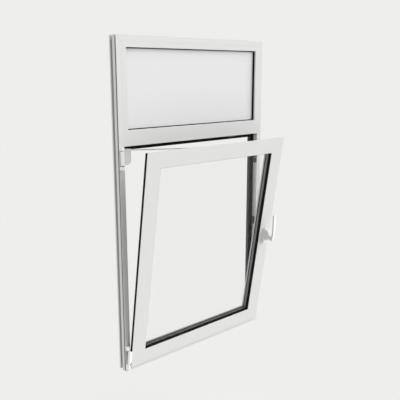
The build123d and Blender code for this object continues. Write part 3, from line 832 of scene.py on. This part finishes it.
def rosette(rows, columns):
    """Long round outlines stacked off the stile: at angle t each row (r, c, e, h) gives across r cos t
    and up r sin t + c sign(sin t) + e, at height h, closed to a point at the back and in the bore."""
    radius, straight, lift, height = (rows[:, k:k + 1] for k in range(4))
    t = (np.arange(columns) + 0.5)[None, :] * 2 * math.pi / columns
    across = HANDLE_X + radius * np.cos(t)
    up = HANDLE_UP + radius * np.sin(t) + straight * np.sign(np.sin(t)) + lift
    return sash_point(across, up, -height).reshape(-1, 3), grid_quads(len(rows), columns, False, True)


handle_rosette = add_piece("handle_rosette", *rosette(ROSETTE_ROWS, ROSETTE_COLUMNS), POWDER, "handle")
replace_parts(handle_rosette, "handle_base")


# Studio: pale floor below the window, even soft light and the camera

FLOOR_Z = -0.90
FLOOR_HALF = 14.0
FLOOR_FADE = (0.9, 1.6)
FLOOR_ROUGHNESS = 0.9
GLASS_SHADE = 0.25
KEY_LIGHT = ((0.548, -0.648, 0.528), 8.0, 4.76)
REAR_LIGHT = ((-0.852, 0.501, 0.150), 4.0, 1.05)
FILL_STRENGTH = 0.32
CAMERA_LENS = 51.25
CAMERA_SENSOR = 36.0
CAMERA_PLACE = (-2.0153, -2.3446, 1.5539)
CAMERA_DOWN = math.radians(12.765)
CAMERA_HEADING = math.radians(-41.313)


def floor_finish():
    """Pale matt floor that keeps the shadow and fades into the pale surroundings with distance."""
    material = bpy.data.materials.new("pale_studio_floor")
    material.use_nodes = True
    tree = material.node_tree
    shader = tree.nodes["Principled BSDF"]
    out = tree.nodes["Material Output"]
    place = tree.nodes.new("ShaderNodeTexCoord").outputs["Object"]
    shader.inputs["Base Color"].default_value = FLOOR_PALE
    shader.inputs["Roughness"].default_value = FLOOR_ROUGHNESS
    shader.inputs["Specular IOR Level"].default_value = 0.0
    reach = tree.nodes.new("ShaderNodeVectorMath")
    reach.operation = "LENGTH"
    link(tree, place, reach.inputs[0])
    glow = tree.nodes.new("ShaderNodeEmission")
    glow.inputs["Color"].default_value = STUDIO_PALE
    blend = tree.nodes.new("ShaderNodeMixShader")
    link(tree, ramp(tree, reach.outputs["Value"], *FLOOR_FADE), blend.inputs["Fac"])
    link(tree, shader.outputs[0], blend.inputs[1])
    link(tree, glow.outputs[0], blend.inputs[2])
    link(tree, blend.outputs[0], out.inputs["Surface"])
    return material


def light_lobe(tree, sky, direction, sharpness, strength):
    """Soft light from one direction: strength times the cosine to it, raised to a power."""
    facing = tree.nodes.new("ShaderNodeVectorMath")
    facing.operation = "DOT_PRODUCT"
    link(tree, sky, facing.inputs[0])
    facing.inputs[1].default_value = direction
    ahead = math_node(tree, "MAXIMUM", facing.outputs["Value"], 0.0)
    return math_node(tree, "MULTIPLY", math_node(tree, "POWER", ahead, sharpness), strength)


def build_studio():
    """Floor, world light that is stronger from the room's right and from behind on the left, and the
    camera."""
    corners = np.array([(-1, -1, 0), (1, -1, 0), (1, 1, 0), (-1, 1, 0)]) * FLOOR_HALF + (0, 0, FLOOR_Z)
    mesh = bpy.data.meshes.new("studio_floor")
    mesh.from_pydata(corners.tolist(), [], [(0, 1, 2, 3)])
    mesh.materials.append(floor_finish())
    floor = bpy.data.objects.new("studio_floor", mesh)
    bpy.context.scene.collection.objects.link(floor)

    world = bpy.data.worlds.new("pale_studio")
    bpy.context.scene.world = world
    world.use_nodes = True
    tree = world.node_tree
    seen = tree.nodes["Background"]
    seen.inputs["Color"].default_value = STUDIO_PALE
    lit = tree.nodes.new("ShaderNodeBackground")
    lit.inputs["Color"].default_value = LAMP_WHITE
    sky = tree.nodes.new("ShaderNodeTexCoord").outputs["Generated"]
    key = light_lobe(tree, sky, *KEY_LIGHT)
    rear = light_lobe(tree, sky, *REAR_LIGHT)
    strength = math_node(tree, "ADD", math_node(tree, "ADD", key, rear), FILL_STRENGTH)
    path = tree.nodes.new("ShaderNodeLightPath")
    bounced = math_node(tree, "GREATER_THAN", path.outputs["Diffuse Depth"], 0.5)
    through_glass = math_node(tree, "MULTIPLY", bounced, path.outputs["Is Transmission Ray"])
    dimmed = math_node(tree, "MULTIPLY_ADD", through_glass, GLASS_SHADE - 1.0, 1.0)
    link(tree, math_node(tree, "MULTIPLY", strength, dimmed), lit.inputs["Strength"])
    shown = math_node(tree, "MAXIMUM", path.outputs["Is Camera Ray"], path.outputs["Is Glossy Ray"])
    shown = math_node(tree, "MAXIMUM", shown, path.outputs["Is Transmission Ray"])
    shown = math_node(tree, "MULTIPLY", shown, math_node(tree, "SUBTRACT", 1.0, bounced))
    blend = tree.nodes.new("ShaderNodeMixShader")
    link(tree, shown, blend.inputs["Fac"])
    link(tree, lit.outputs[0], blend.inputs[1])
    link(tree, seen.outputs[0], blend.inputs[2])
    link(tree, blend.outputs[0], tree.nodes["World Output"].inputs["Surface"])

    eye = bpy.data.cameras.new("studio_camera")
    eye.lens = CAMERA_LENS
    eye.sensor_width = CAMERA_SENSOR
    camera = bpy.data.objects.new("studio_camera", eye)
    camera.location = CAMERA_PLACE
    camera.rotation_euler = (math.pi / 2 - CAMERA_DOWN, 0.0, CAMERA_HEADING)
    bpy.context.scene.collection.objects.link(camera)
    bpy.context.scene.camera = camera
    bpy.context.scene.view_settings.view_transform = "Standard"


build_studio()
